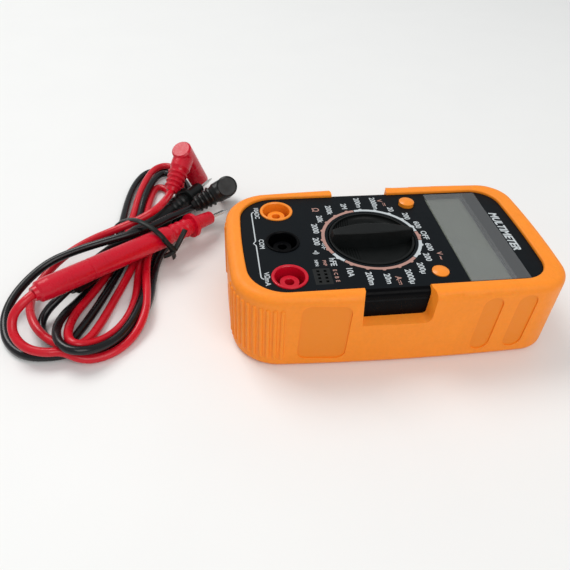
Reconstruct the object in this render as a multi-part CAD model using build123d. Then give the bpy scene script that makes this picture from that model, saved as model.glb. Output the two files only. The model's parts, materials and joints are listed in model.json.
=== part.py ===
from build123d import *

import os
from math import cos, pi, radians, sin

# Pocket digital multimeter in a rubber holster, lying on its back beside its tied test leads.
# Millimetres. +X is the meter's right, +Y its display end, +Z out of its face. The origin is
# on the surface it lies on, under the middle of the holster.

# ---- Driving dimensions ------------------------------------------------------------------

HOLSTER_LENGTH = 140.0
HOLSTER_HALF_LOW = 36.8        # half width of the holster at the jack end
HOLSTER_HALF_MID = 40.2        # at its widest
HOLSTER_HALF_HIGH = 38.9       # at the display end
HOLSTER_WIDEST_Y = 18.0
HOLSTER_FLOOR = 2.8            # rubber under the case
FACE_Z = 36.5                  # printed face of the meter
LIP_RISE = 1.4                 # rubber lip above the face
LIP_TOP = FACE_Z + LIP_RISE

CASE_LENGTH = 133.6
CASE_WIDTH = 71.4
CASE_WALL = 2.0
CASE_SHOULDER = 2.6            # radius round the face
PARTING_Z = 32.6               # where the lid meets the tub
LID_UNDERSIDE = FACE_Z - CASE_WALL
TUB_FLOOR = HOLSTER_FLOOR + CASE_WALL

OVERLAY_THICKNESS = 0.4
BOARD_THICKNESS = 1.6
BOARD_TOP = 24.0
BOARD_BOTTOM = BOARD_TOP - BOARD_THICKNESS

DIAL_Y = -7.2
DIAL_POSITIONS = 20
KNOB_RADIUS = 18.6
KNOB_WELL_RADIUS = 19.0
KNOB_TOP = 41.9

JACK_PITCH = 23.15
JACK_Y = -46.2
JACK_NAMES = ("amps", "common", "volts")
SOCKET_BORE_RADIUS = 2.05      # takes a 4 mm plug pin

BUTTON_X = 24.7
BUTTON_Y = 15.7
BUTTON_RADIUS = 3.5

LIP_OPENING = dict(half_width=33.3, y_low=-63.5, y_high=61.2, crown_low=1.8,
                   crown_high=1.2, corner_low=16.0, corner_high=12.0)
OVERLAY_OUTLINE = dict(half_width=33.0, y_low=-63.2, y_high=60.9, crown_low=1.8,
                       crown_high=1.2, corner_low=15.7, corner_high=11.7)
CASE_OUTLINE = dict(half_width=CASE_WIDTH / 2, y_low=-CASE_LENGTH / 2, y_high=CASE_LENGTH / 2,
                    crown_low=1.9, crown_high=1.6, corner_low=17.5, corner_high=12.5)
HOLSTER_CROWN = 2.0
HOLSTER_CORNER_LOW = 20.0
HOLSTER_CORNER_HIGH = 15.0


# ---- Small shape helpers -----------------------------------------------------------------

def outline(half_width, y_low, y_high, crown_low, crown_high, corner_low, corner_high):
    """Plan outline with straight sides, bowed ends and rounded corners."""
    low_left = (-half_width, y_low + crown_low)
    low_right = (half_width, y_low + crown_low)
    high_left = (-half_width, y_high - crown_high)
    high_right = (half_width, y_high - crown_high)
    sides = Curve() + [
        Line(low_left, high_left),
        ThreePointArc(high_left, (0, y_high), high_right),
        Line(high_right, low_right),
        ThreePointArc(low_right, (0, y_low), low_left),
    ]
    return round_corners(make_face(sides), corner_low, corner_high)


def round_corners(face, corner_low, corner_high):
    """Round the four corners of a plan outline, the two at each end alike."""
    high_corners = face.vertices().sort_by(Axis.Y)[2:]
    high_y = high_corners[0].Y
    face = fillet(face.vertices().sort_by(Axis.Y)[:2], radius=corner_low)
    high_corners = [v for v in face.vertices() if abs(v.Y - high_y) < 0.01]
    return fillet(high_corners, radius=corner_high)


def slab(sketch, z_low, z_high):
    """A plan sketch made solid between two heights."""
    return Pos(0, 0, z_low) * extrude(sketch, amount=z_high - z_low, dir=(0, 0, 1))


def block(low, high):
    """A box between two opposite corners."""
    size = [b - a for a, b in zip(low, high)]
    middle = [(a + b) / 2 for a, b in zip(low, high)]
    return Pos(*middle) * Box(*size)


def rod(x, y, z_low, z_high, radius):
    """An upright cylinder."""
    return Pos(x, y, (z_low + z_high) / 2) * Cylinder(radius, z_high - z_low)


def tube(x, y, z_low, z_high, outer, inner):
    """An upright tube."""
    return rod(x, y, z_low, z_high, outer) - rod(x, y, z_low - 1, z_high + 1, inner)


def coil(radius, wire, z_low, z_high, turns):
    """An upright coil spring whose wire fills the stated height."""
    height = z_high - z_low - 2 * wire
    path = Helix(pitch=height / turns, height=height, radius=radius)
    section = Plane(origin=path @ 0, z_dir=path % 0) * Circle(wire)
    return Pos(0, 0, z_low + wire) * sweep(section, path=path)


# ---- Holster -----------------------------------------------------------------------------

NOTCH_FLOOR = 24.2
NOTCH_TOP = (-18.8, 8.6)
NOTCH_FOOT = (-17.6, 8.0)
NOTCH_FLARE = 18.0              # degrees by which the notch opens outward


def case_envelope():
    """The closed outside shape of the meter's case, without its holster."""
    body = slab(outline(**CASE_OUTLINE), HOLSTER_FLOOR, FACE_Z)
    body = fillet(body.faces().sort_by(Axis.Z)[-1].edges(), radius=CASE_SHOULDER)
    return fillet(body.faces().sort_by(Axis.Z)[0].edges(), radius=2.0)


def holster_outline():
    """Plan outline of the holster, whose long sides bow outward."""
    low_y = -HOLSTER_LENGTH / 2 + HOLSTER_CROWN
    high_y = HOLSTER_LENGTH / 2 - HOLSTER_CROWN
    low_left, low_right = (-HOLSTER_HALF_LOW, low_y), (HOLSTER_HALF_LOW, low_y)
    high_left, high_right = (-HOLSTER_HALF_HIGH, high_y), (HOLSTER_HALF_HIGH, high_y)
    sides = Curve() + [
        ThreePointArc(low_left, (-HOLSTER_HALF_MID, HOLSTER_WIDEST_Y), high_left),
        ThreePointArc(high_left, (0, HOLSTER_LENGTH / 2), high_right),
        ThreePointArc(high_right, (HOLSTER_HALF_MID, HOLSTER_WIDEST_Y), low_right),
        ThreePointArc(low_right, (0, -HOLSTER_LENGTH / 2), low_left),
    ]
    return round_corners(make_face(sides), HOLSTER_CORNER_LOW, HOLSTER_CORNER_HIGH)


def side_notch():
    """Thumb notch through both sides of the holster, opening outward."""
    profile = Polygon((NOTCH_TOP[0], LIP_TOP + 5), (NOTCH_FOOT[0], NOTCH_FLOOR),
                      (NOTCH_FOOT[1], NOTCH_FLOOR), (NOTCH_TOP[1], LIP_TOP + 5), align=None)
    profile = fillet(profile.vertices().sort_by(Axis.Y)[1:3], radius=1.6)
    wall_x = CASE_WIDTH / 2
    inner = extrude(Plane.YZ * profile, amount=wall_x, both=True)
    flare = extrude(Plane.YZ.offset(wall_x) * profile, amount=8.0, taper=-NOTCH_FLARE)
    return inner + flare + mirror(flare, about=Plane.YZ)


def grip_ribs():
    """Fine upright ribs round the two corners at the jack end."""
    rib_radius, rib_rise, rib_pitch, count = 0.95, 0.7, 2.9, 11
    corner = next(e for e in holster_outline().edges().filter_by(GeomType.CIRCLE)
                  if abs(e.radius - HOLSTER_CORNER_LOW) < 0.01)
    centre_x, centre_y = abs(corner.arc_center.X), corner.arc_center.Y
    reach = HOLSTER_CORNER_LOW - rib_radius + rib_rise
    ribs = []
    for step in range(count):
        turn = (step + 0.4) * rib_pitch / HOLSTER_CORNER_LOW
        x = centre_x + reach * cos(turn)
        y = centre_y - reach * sin(turn)
        for side in (-1, 1):
            rib = rod(side * x, y, 6.0, 31.5, rib_radius)
            rib += Pos(side * x, y, 6.0) * Sphere(rib_radius)
            ribs.append(rib + Pos(side * x, y, 31.5) * Sphere(rib_radius))
    return ribs


def side_recesses():
    """Shallow grip recesses pressed into the two long sides, equally deep all over."""
    depth, height, middle_z = 0.5, 29.0, 19.4
    wide = Pos(-33.8, middle_z) * Rot(0, 0, -2) * RectangleRounded(20.0, height, 4.0)
    slots = [Pos(y, middle_z) * Rot(0, 0, 88.5) * SlotOverall(height, 8.4) for y in (33.8, 48.6)]
    pads = extrude(Plane.YZ * (wide + slots), amount=50.0, both=True)
    core = slab(offset(holster_outline(), amount=-depth), -1, LIP_TOP + 1)
    return pads - core


def make_holster():
    body = slab(holster_outline(), 0, LIP_TOP)
    body = fillet(body.faces().sort_by(Axis.Z)[-1].edges(), radius=3.6)
    body = fillet(body.faces().sort_by(Axis.Z)[0].edges(), radius=3.0)
    body += grip_ribs()
    body -= side_recesses()
    body -= slab(outline(**LIP_OPENING), FACE_Z - 2, LIP_TOP + 1)
    rim = [e for e in body.edges() if abs(e.center().Z - LIP_TOP) < 0.01
           and abs(e.center().X) < LIP_OPENING["half_width"] + 0.1]
    body = fillet(rim, radius=0.8)
    body -= side_notch()
    body -= case_envelope()
    return body


# ---- Case: lid, tub, overlay ---------------------------------------------------------------

CASE_SCREWS = ((-24.0, 60.6), (24.0, 60.6), (-12.0, -60.0), (12.0, -60.0))
BOARD_SCREWS = ((-29.8, 53.6), (29.8, 53.6), (-30.6, -22.0), (30.6, -22.0))
SCREW_JOIN_Z = 12.0            # where the lid's posts meet the tub's posts
LENS = ((-31.8, 26.0), (31.8, 45.6))
VIEW = ((-31.0, 26.6), (31.0, 45.0))
LENS_THICKNESS = 1.2
SOCKET_BLOCK = ((18.6, -36.6), (28.8, -29.4))
JACK_WELL_RADIUS = 6.9
WELL_FLOOR_Z = 31.4            # underside of the knob's well
WELL_FLOOR = 1.2
HUB_RADIUS = 5.0
HUB_CLEARANCE = 0.05
DETENT_RADIUS = 1.6
BALL_RADIUS = 1.5
SCALLOP_REACH = 16.6
BALL_REACH = 16.0  # pressed in level with the ridges between the scallops, so that the dial can turn


def cavity_sketch(inset):
    return offset(outline(**CASE_OUTLINE), amount=-inset, kind=Kind.ARC)


def face_holes(growth):
    """Cutters for everything that comes through the printed face."""
    cuts = [block((LENS[0][0] - growth, LENS[0][1] - growth, LID_UNDERSIDE + 0.8),
                  (LENS[1][0] + growth, LENS[1][1] + growth, FACE_Z + 1))]
    cuts.append(block((*SOCKET_BLOCK[0], LID_UNDERSIDE - 1), (*SOCKET_BLOCK[1], FACE_Z + 1)))
    cuts.append(rod(0, DIAL_Y, LID_UNDERSIDE - 1, FACE_Z + 1, KNOB_WELL_RADIUS + growth))
    for index in (-1, 0, 1):
        cuts.append(rod(index * JACK_PITCH, JACK_Y, LID_UNDERSIDE - 1, FACE_Z + 1,
                        JACK_WELL_RADIUS + growth))
    for side in (-1, 1):
        cuts.append(rod(side * BUTTON_X, BUTTON_Y, LID_UNDERSIDE - 1, FACE_Z + 1,
                        BUTTON_RADIUS + 0.2 + growth))
    return cuts


def make_faceplate():
    sheet = slab(outline(**OVERLAY_OUTLINE), FACE_Z - OVERLAY_THICKNESS, FACE_Z)
    return sheet - face_holes(0.1)


def detent_ring():
    """Scalloped ring under the knob's well that the rotor's balls click into."""
    low, high, inner, outer = 25.8, WELL_FLOOR_Z, 17.6, 19.8
    ring = tube(0, DIAL_Y, low, high, outer, inner)
    for step in range(DIAL_POSITIONS):
        turn = 2 * pi * step / DIAL_POSITIONS
        x, y = SCALLOP_REACH * cos(turn), DIAL_Y + SCALLOP_REACH * sin(turn)
        ring -= rod(x, y, low - 1, high + 1, DETENT_RADIUS)
    return ring


def make_front_case():
    lid = case_envelope() & slab(outline(**CASE_OUTLINE), PARTING_Z, FACE_Z)
    lid = chamfer(lid.faces().sort_by(Axis.Z)[0].edges(), 0.5)
    lid -= slab(cavity_sketch(CASE_WALL), PARTING_Z - 1, LID_UNDERSIDE)
    skirt = slab(cavity_sketch(CASE_WALL + 0.1), 30.4, LID_UNDERSIDE + 0.2)
    lid += skirt - slab(cavity_sketch(CASE_WALL + 1.3), 30, LID_UNDERSIDE)
    lid -= block((FRAME[0][0] - 0.2, FRAME[0][1] - 0.2, 30),
                 (FRAME[1][0] + 0.2, FRAME[1][1] + 0.2, LID_UNDERSIDE))
    for x, y in CASE_SCREWS:
        lid += rod(x, y, SCREW_JOIN_Z, LID_UNDERSIDE + 0.5, 3.2)
    for x, y in BOARD_SCREWS:
        lid += rod(x, y, BOARD_TOP, LID_UNDERSIDE + 0.5, 2.4)
    lid += rod(0, DIAL_Y, WELL_FLOOR_Z, LID_UNDERSIDE + 0.5, KNOB_WELL_RADIUS + 1.4)
    lid += detent_ring()
    for index in (-1, 0, 1):
        lid += rod(index * JACK_PITCH, JACK_Y, 30.6, LID_UNDERSIDE + 0.5, JACK_WELL_RADIUS + 1.3)
        lid -= rod(index * JACK_PITCH, JACK_Y, 30, FACE_Z + 1, JACK_WELL_RADIUS)
    lid -= face_holes(0)
    lid -= block((*VIEW[0], LID_UNDERSIDE - 1), (*VIEW[1], FACE_Z))
    lid -= rod(0, DIAL_Y, WELL_FLOOR_Z + WELL_FLOOR, FACE_Z + 1, KNOB_WELL_RADIUS)
    lid -= rod(0, DIAL_Y, WELL_FLOOR_Z - 1, FACE_Z, HUB_RADIUS)
    for x, y in CASE_SCREWS:
        lid -= rod(x, y, SCREW_JOIN_Z - 1, 20.0, 1.45)
    for x, y in BOARD_SCREWS:
        lid -= rod(x, y, BOARD_TOP - 1, 29.0, 1.0)
    return lid - slab(outline(**OVERLAY_OUTLINE), FACE_Z - OVERLAY_THICKNESS, FACE_Z + 1)


def make_rear_case():
    tub = case_envelope() & slab(outline(**CASE_OUTLINE), HOLSTER_FLOOR, PARTING_Z)
    tub = chamfer(tub.faces().sort_by(Axis.Z)[-1].edges(), 0.6)
    tub -= slab(cavity_sketch(CASE_WALL), TUB_FLOOR, PARTING_Z + 1)
    for x, y in CASE_SCREWS:
        tub += rod(x, y, TUB_FLOOR - 0.5, SCREW_JOIN_Z, 3.8)
        tub -= rod(x, y, HOLSTER_FLOOR - 1, SCREW_JOIN_Z + 1, 1.6)
        tub -= rod(x, y, HOLSTER_FLOOR - 1, 6.8, 3.0)
    for y in (BATTERY_Y[0] - 1.5, BATTERY_Y[1] + 0.1):
        tub += block((-28, y, TUB_FLOOR - 0.5), (12, y + 1.4, 14.0))
    tub += tube(*BUZZER_PLACE, TUB_FLOOR - 0.5, 8.0, BUZZER_RADIUS + 1.3, BUZZER_RADIUS)
    return tub


def make_case_screws():
    screws = []
    for x, y in CASE_SCREWS:
        head = rod(x, y, 4.6, 6.8, 2.8)
        slots = block((x - 1.7, y - 0.35, 3), (x + 1.7, y + 0.35, 5.6))
        slots += block((x - 0.35, y - 1.7, 3), (x + 0.35, y + 1.7, 5.6))
        screws.append(head + rod(x, y, 6.8, 19.5, 1.45) - slots)
    return Compound(children=screws)


def make_board_screws():
    screws = []
    for x, y in BOARD_SCREWS:
        head = rod(x, y, BOARD_BOTTOM - 1.2, BOARD_BOTTOM, 2.0)
        slot = block((x - 2.5, y - 0.3, BOARD_BOTTOM - 2), (x + 2.5, y + 0.3, BOARD_BOTTOM - 0.7))
        screws.append(head + rod(x, y, BOARD_BOTTOM, 28.5, 1.0) - slot)
    return Compound(children=screws)


# ---- Display -------------------------------------------------------------------------------

GLASS = ((-32.8, 24.2), (32.8, 47.4))
GLASS_Z = (31.5, 34.3)
FRAME = ((-33.4, 22.4), (33.4, 49.2))
POCKET = ((-31.6, 25.2), (31.6, 46.4))
FILM = ((-32.1, 26.4), (32.1, 51.7))
FILM_THICKNESS = 0.15


def make_display_window():
    lens_z = FACE_Z - LENS_THICKNESS
    return block((*LENS[0], lens_z), (*LENS[1], FACE_Z))


def make_display_film():
    return block((*FILM[0], FACE_Z), (*FILM[1], FACE_Z + FILM_THICKNESS))


def make_lcd_glass():
    """Two bonded glass plates, the rear one longer on its contact side."""
    step = 1.4
    front = block((*GLASS[0], sum(GLASS_Z) / 2), (GLASS[1][0], GLASS[1][1] - 2.4, GLASS_Z[1]))
    rear = block((*GLASS[0], GLASS_Z[0]), (*GLASS[1], GLASS_Z[0] + step))
    return front + rear


def make_lcd_frame():
    frame = block((*FRAME[0], BOARD_TOP), (*FRAME[1], GLASS_Z[1]))
    frame -= block((*GLASS[0], GLASS_Z[0]), (*GLASS[1], GLASS_Z[1] + 1))
    return frame - block((*POCKET[0], BOARD_TOP - 1), (*POCKET[1], GLASS_Z[1]))


def make_backlight_panel():
    return block((-31.4, 25.4, 27.5), (31.4, 43.4, GLASS_Z[0]))


def make_elastomer_strip():
    """Zebra strip that carries the display's contacts down to the board."""
    return block((-30.0, 44.0, BOARD_TOP), (30.0, 46.2, GLASS_Z[0]))


# ---- Circuit board and what is soldered to it ------------------------------------------------

BATTERY_X = (-31.0, 15.4)
BATTERY_Y = (5.0, 31.5)
BATTERY_Z = (TUB_FLOOR, 22.3)
BUZZER_PLACE = (-12.0, -20.0)
BUZZER_RADIUS = 10.0
SOCKET_RADIUS = 3.0


def make_main_board():
    board = slab(cavity_sketch(CASE_WALL + 1.5), BOARD_BOTTOM, BOARD_TOP)
    for x, y in CASE_SCREWS:
        board -= rod(x, y, BOARD_BOTTOM - 1, BOARD_TOP + 1, 3.6)
    for x, y in BOARD_SCREWS:
        board -= rod(x, y, BOARD_BOTTOM - 1, BOARD_TOP + 1, 1.0)
    for index in (-1, 0, 1):
        board -= rod(index * JACK_PITCH, JACK_Y, BOARD_BOTTOM - 1, BOARD_TOP + 1, SOCKET_RADIUS)
    return board


def make_chip_cover():
    """Black epoxy dome over the measuring chip."""
    radius, rise = 7.5, 1.7
    ball = (radius ** 2 + rise ** 2) / (2 * rise)
    dome = Pos(17, -8, BOARD_BOTTOM - rise + ball) * Sphere(ball)
    return dome & rod(17, -8, BOARD_BOTTOM - 3, BOARD_BOTTOM, radius)


def axial_part(x, y, body_radius, body_length, span):
    """A resistor-like part lying under the board on its two bent leads."""
    z = BOARD_BOTTOM - body_radius - 0.4
    lead = 0.3
    barrel = Pos(x, y, z) * Rot(0, 90, 0) * Cylinder(body_radius * 0.8, body_length)
    for side in (-1, 1):
        end_bulb = Cylinder(body_radius, body_length * 0.25)
        barrel += Pos(x + side * body_length * 0.36, y, z) * Rot(0, 90, 0) * end_bulb
    barrel += Pos(x, y, z) * Rot(0, 90, 0) * Cylinder(lead, span)
    for side in (-1, 1):
        barrel += rod(x + side * (span / 2 - lead), y, z, BOARD_BOTTOM, lead * 0.9)
    return barrel


def make_resistors():
    rows = [axial_part(17, y, 1.1, 6.2, 10.0) for y in (-18.5, -22.0, -25.5, -29.0)]
    rows += [axial_part(0, y, 1.1, 6.2, 10.0) for y in (38.0, 41.5, 45.0, 48.5)]
    rows += [axial_part(-18, y, 1.1, 6.2, 10.0) for y in (38.0, 41.5, 45.0, 48.5)]
    return Compound(children=rows)


def make_capacitors():
    """Two boxed film capacitors and one round electrolytic."""
    parts = []
    for y in (38.5, 46.0):
        box = block((12.0, y - 2.6, BOARD_BOTTOM - 8.5), (21.5, y + 2.6, BOARD_BOTTOM))
        parts.append(fillet(box.edges().filter_by(Axis.Z), radius=0.6))
    can = rod(26.5, 38.5, BOARD_BOTTOM - 10.0, BOARD_BOTTOM, 3.1)
    parts.append(fillet(can.edges().sort_by(Axis.Z)[0], radius=0.6))
    return Compound(children=parts)


def make_trimmer():
    """Calibration trimmer, set with a small screwdriver."""
    x, y = -22.0, -4.0
    half, height = 3.5, 5.0
    body = block((x - half, y - half, BOARD_BOTTOM - height), (x + half, y + half, BOARD_BOTTOM))
    body -= rod(x, y, 0, BOARD_BOTTOM - 4.2, 2.1)
    screw = rod(x, y, BOARD_BOTTOM - 4.8, BOARD_BOTTOM - 4.0, 1.6)
    return body + screw - block((x - 1.5, y - 0.3, 0), (x + 1.5, y + 0.3, BOARD_BOTTOM - 4.5))


FUSE_PLACE = (6.0, -35.5, 17.6)


def make_fuse():
    """Glass tube fuse with its two metal caps."""
    x, y, z = FUSE_PLACE
    glass = Pos(x, y, z) * Rot(0, 90, 0) * Cylinder(2.3, 20.0)
    for side in (-1, 1):
        glass += Pos(x + side * 7.4, y, z) * Rot(0, 90, 0) * Cylinder(2.6, 5.2)
    return glass


def make_fuse_clips():
    x, y, z = FUSE_PLACE
    clips = []
    for side in (-1, 1):
        middle = x + side * 7.4
        clip = block((middle - 1.8, y - 3.1, z - 2.2), (middle + 1.8, y + 3.1, BOARD_BOTTOM))
        clip -= Pos(middle, y, z) * Rot(0, 90, 0) * Cylinder(2.66, 5.0)
        clips.append(clip - block((middle - 3, y - 2.0, 0), (middle + 3, y + 2.0, z)))
    return Compound(children=clips)


def make_current_shunt():
    """Bare wire loop that carries the high-current range."""
    wire = 0.8
    route = FilletPolyline((-18.5, -38.5, BOARD_BOTTOM), (-18.5, -38.5, 14.0),
                           (-6.0, -38.5, 14.0), (-6.0, -38.5, BOARD_BOTTOM), radius=3.0)
    section = Plane(origin=route @ 0, z_dir=route % 0) * Circle(wire)
    return sweep(section, path=route)


def make_buzzer_disc():
    x, y = BUZZER_PLACE
    return rod(x, y, TUB_FLOOR, TUB_FLOOR + 0.3, BUZZER_RADIUS) + rod(x, y, 5.0, 5.5, 7.0)


def make_buzzer_springs():
    x, y = BUZZER_PLACE
    inner = Pos(x, y, 0) * coil(1.6, 0.25, 5.5, BOARD_BOTTOM, 7)
    outer = Pos(x + 8.6, y, 0) * coil(0.9, 0.2, 5.1, BOARD_BOTTOM, 8)
    return Compound(children=[inner, outer])


def make_transistor_socket():
    """Socket with two rows of four square holes for a transistor's legs."""
    (x_low, y_low), (x_high, y_high) = SOCKET_BLOCK
    body = block((x_low, y_low, BOARD_TOP), (x_high, y_high, FACE_Z - 0.1))
    pitch_x, pitch_y, half_hole = 2.15, 2.9, 0.6
    for column in range(4):
        x = (x_low + x_high) / 2 + (column - 1.5) * pitch_x
        for row in (-0.5, 0.5):
            y = (y_low + y_high) / 2 + row * pitch_y
            body -= block((x - half_hole, y - half_hole, 30.0),
                          (x + half_hole, y + half_hole, FACE_Z + 1))
    return body


def make_jack_collar(index):
    """Coloured cup round one input socket, with an inner sleeve for a shrouded plug."""
    x = index * JACK_PITCH
    mouth, rim_radius, rim_top = 6.1, 7.45, FACE_Z + 0.6
    cup = rod(x, JACK_Y, BOARD_TOP, FACE_Z, JACK_WELL_RADIUS)
    rim = rod(x, JACK_Y, FACE_Z, rim_top, rim_radius)
    rim = fillet(rim.edges().sort_by(Axis.Z)[-1], radius=0.45)
    cup = cup + rim - rod(x, JACK_Y, BOARD_TOP + 1.2, rim_top + 1, mouth)
    cup = chamfer(cup.edges().filter_by(GeomType.CIRCLE).sort_by(Axis.Z)[-1], 0.35)
    cup += rod(x, JACK_Y, BOARD_TOP, 34.0, 3.9)
    return cup - rod(x, JACK_Y, BOARD_TOP - 1, 35.0, SOCKET_RADIUS)


def make_jack_socket(index):
    """Brass socket soldered through the board."""
    x = index * JACK_PITCH
    low, high, blind = 14.5, 33.4, 15.5
    return rod(x, JACK_Y, low, high, SOCKET_RADIUS) - rod(x, JACK_Y, blind, high + 1,
                                                          SOCKET_BORE_RADIUS)


# ---- Selector knob ---------------------------------------------------------------------------

KNOB_RIM_TOP = 36.9
KNOB_BOWL_Z = 34.4             # floor of the bowl that the grip bar stands in
KNOB_BOWL_RADIUS = 17.6
KNOB_FOOT = 33.0
ROTOR_Z = (25.6, 28.6)
ROTOR_RADIUS = 15.8


def grip_bar():
    """Leaf-shaped bar across the knob, crowned along its top and wider at its foot."""
    tail, tip, tail_half, tip_half, waist_half = -17.2, 17.9, 1.6, 0.6, 3.5
    plan = make_face(Curve() + [
        ThreePointArc((tail_half, tail), (waist_half, 1.0), (tip_half, tip)),
        Line((tip_half, tip), (-tip_half, tip)),
        ThreePointArc((-tip_half, tip), (-waist_half, 1.0), (-tail_half, tail)),
        Line((-tail_half, tail), (tail_half, tail)),
    ])
    crown_radius = 120.0
    bar = extrude(Pos(0, 0, KNOB_TOP) * plan, amount=KNOB_TOP - KNOB_BOWL_Z + 0.6,
                  dir=(0, 0, -1), taper=-9)
    crown = Pos(0, 0, KNOB_TOP - crown_radius) * Rot(0, 90, 0) * Cylinder(crown_radius, 60)
    bar = bar & crown & rod(0, 0, KNOB_FOOT, KNOB_TOP + 1, KNOB_RADIUS - 0.5)
    top = bar.faces().filter_by(GeomType.CYLINDER).sort_by(Axis.Z)[-1]
    return fillet(top.edges(), radius=0.5)


def make_selector_knob():
    """Bowl level with the face, the grip bar across it and the hub down to the rotor."""
    body = rod(0, 0, KNOB_FOOT, KNOB_RIM_TOP, KNOB_RADIUS)
    body = fillet(body.edges().sort_by(Axis.Z)[-1], radius=0.35)
    bowl = rod(0, 0, KNOB_BOWL_Z, KNOB_RIM_TOP + 3, KNOB_BOWL_RADIUS)
    bowl = fillet(bowl.edges().sort_by(Axis.Z)[0], radius=2.2)
    body -= bowl
    groove_pitch, groove_width, groove_depth = 1.15, 0.5, 0.35
    for step in range(7):
        y = -14.6 + groove_pitch * step
        strip = block((-KNOB_BOWL_RADIUS, y, KNOB_FOOT),
                      (KNOB_BOWL_RADIUS, y + groove_width, KNOB_RIM_TOP + 1))
        body -= strip & (Pos(0, 0, -groove_depth) * bowl)
    hub = rod(0, 0, ROTOR_Z[0], KNOB_FOOT + 1, HUB_RADIUS - HUB_CLEARANCE)
    return Pos(0, DIAL_Y, 0) * (body + grip_bar() + hub)


def make_contact_rotor():
    rotor = rod(0, 0, *ROTOR_Z, ROTOR_RADIUS) + rod(0, 0, ROTOR_Z[1], WELL_FLOOR_Z - 0.3, 7.0)
    rotor -= rod(0, 0, ROTOR_Z[0] - 1, WELL_FLOOR_Z, HUB_RADIUS - HUB_CLEARANCE)
    middle = sum(ROTOR_Z) / 2 + 0.5
    for side in (-1, 1):
        bore = Pos(side * 12.5, 0, middle) * Rot(0, 90, 0) * Cylinder(BALL_RADIUS + 0.05, 7.2)
        rotor -= bore
    return Pos(0, DIAL_Y, 0) * (rotor - block((-20, -1, 27.1), (-9, 1, 30))
                                - block((9, -1, 27.1), (20, 1, 30)))


def make_detent_balls():
    z = sum(ROTOR_Z) / 2 + 0.5
    return Compound(children=[Pos(side * BALL_REACH, DIAL_Y, z) * Sphere(BALL_RADIUS)
                              for side in (-1, 1)])


def make_detent_springs():
    z = sum(ROTOR_Z) / 2 + 0.5
    springs = []
    for side in (-1, 1):
        spring = coil(1.1, 0.2, 8.9, BALL_REACH - BALL_RADIUS, 6)
        springs.append(Pos(0, DIAL_Y, z) * Rot(0, 90 * side, 0) * spring)
    return Compound(children=springs)


def make_wiper_contacts():
    """Sprung bridges under the rotor that join the board's contact rings."""
    top, foot, gauge, width = ROTOR_Z[0], BOARD_TOP + 0.06, 0.22, 1.8
    wipers = []
    for turn in (90, 210, 330):
        half = [(0, top), (2.6, top), (4.6, foot + gauge), (5.3, foot + gauge), (5.3, foot),
                (4.4, foot), (2.4, top - gauge), (0, top - gauge)]
        mirrored = [(-x, z) for x, z in reversed(half[1:-1])]
        profile = Polygon(*half, *mirrored, align=None)
        strip = extrude(Plane.XZ * profile, amount=width / 2, both=True)
        wipers.append(Pos(0, DIAL_Y, 0) * Rot(0, 0, turn) * Pos(9.6, 0, 0) * strip)
    return Compound(children=wipers)


# ---- Push buttons ------------------------------------------------------------------------------

BUTTON_TRAVEL = 1.2
SWITCH_TOP = 28.0
STEM_FOOT = 31.4
PLUNGER_FOOT = 26.4


def make_button(side, crown):
    """Round cap with a retaining flange below the lid and a stem to its switch."""
    x = side * BUTTON_X
    rim_z, dome_rise = crown - 0.9, 0.9
    ball = (BUTTON_RADIUS ** 2 + dome_rise ** 2) / (2 * dome_rise)
    cap = rod(x, BUTTON_Y, 34.3, crown, BUTTON_RADIUS)
    cap &= Pos(x, BUTTON_Y, rim_z + dome_rise - ball) * Sphere(ball) + rod(
        x, BUTTON_Y, 34.3, rim_z, BUTTON_RADIUS)
    flange = rod(x, BUTTON_Y, 33.2, 34.3, BUTTON_RADIUS + 0.8)
    return cap + flange + rod(x, BUTTON_Y, STEM_FOOT, 33.2, 2.3)


def make_plunger(side):
    return rod(side * BUTTON_X, BUTTON_Y, PLUNGER_FOOT, STEM_FOOT, 1.3)


def make_button_spring(side):
    return Pos(side * BUTTON_X, BUTTON_Y, 0) * coil(1.85, 0.2, SWITCH_TOP, STEM_FOOT, 3)


def make_switch(side):
    x = side * BUTTON_X
    body = block((x - 3.5, BUTTON_Y - 3.5, BOARD_TOP), (x + 3.5, BUTTON_Y + 3.5, SWITCH_TOP))
    return body - rod(x, BUTTON_Y, 24.9, SWITCH_TOP + 1, 1.5)


# ---- Battery -------------------------------------------------------------------------------------

def battery_poles():
    y = sum(BATTERY_Y) / 2
    z = sum(BATTERY_Z) / 2
    return [Pos(BATTERY_X[1] + 1.0, y + 6.35 * side, z) * Rot(0, 90, 0) * Cylinder(radius, 2.2)
            for side, radius in ((-1, 2.9), (1, 3.8))]


def make_battery():
    (x_low, x_high), (y_low, y_high), (z_low, z_high) = BATTERY_X, BATTERY_Y, BATTERY_Z
    cell = block((x_low, y_low, z_low), (x_high, y_high, z_high))
    cell = fillet(cell.edges().filter_by(Axis.X), radius=1.8)
    return cell + battery_poles()


def make_battery_snap():
    x = BATTERY_X[1]
    plate = block((x + 0.2, BATTERY_Y[0] + 0.6, 7.0), (x + 4.2, BATTERY_Y[1] - 0.6, 20.0))
    plate = fillet(plate.edges().filter_by(Axis.X), radius=3.0)
    return plate - battery_poles()


def make_battery_wire(side):
    """One insulated wire from the snap connector up to the board."""
    y = sum(BATTERY_Y) / 2 + 6.35 * side
    x = BATTERY_X[1] + 4.2
    route = FilletPolyline((x, y, 13.0), (x + 6.0, y, 13.0), (x + 7.2, y - 3 * side, 17.5),
                           (x + 7.2, y - 3 * side, BOARD_BOTTOM), radius=1.8)
    section = Plane(origin=route @ 0, z_dir=route % 0) * Circle(0.7)
    return sweep(section, path=route)


# ---- Test leads ------------------------------------------------------------------------------------
# Two leads, each a shrouded right-angle plug, a soft cord and a probe, coiled and tied together.

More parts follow.
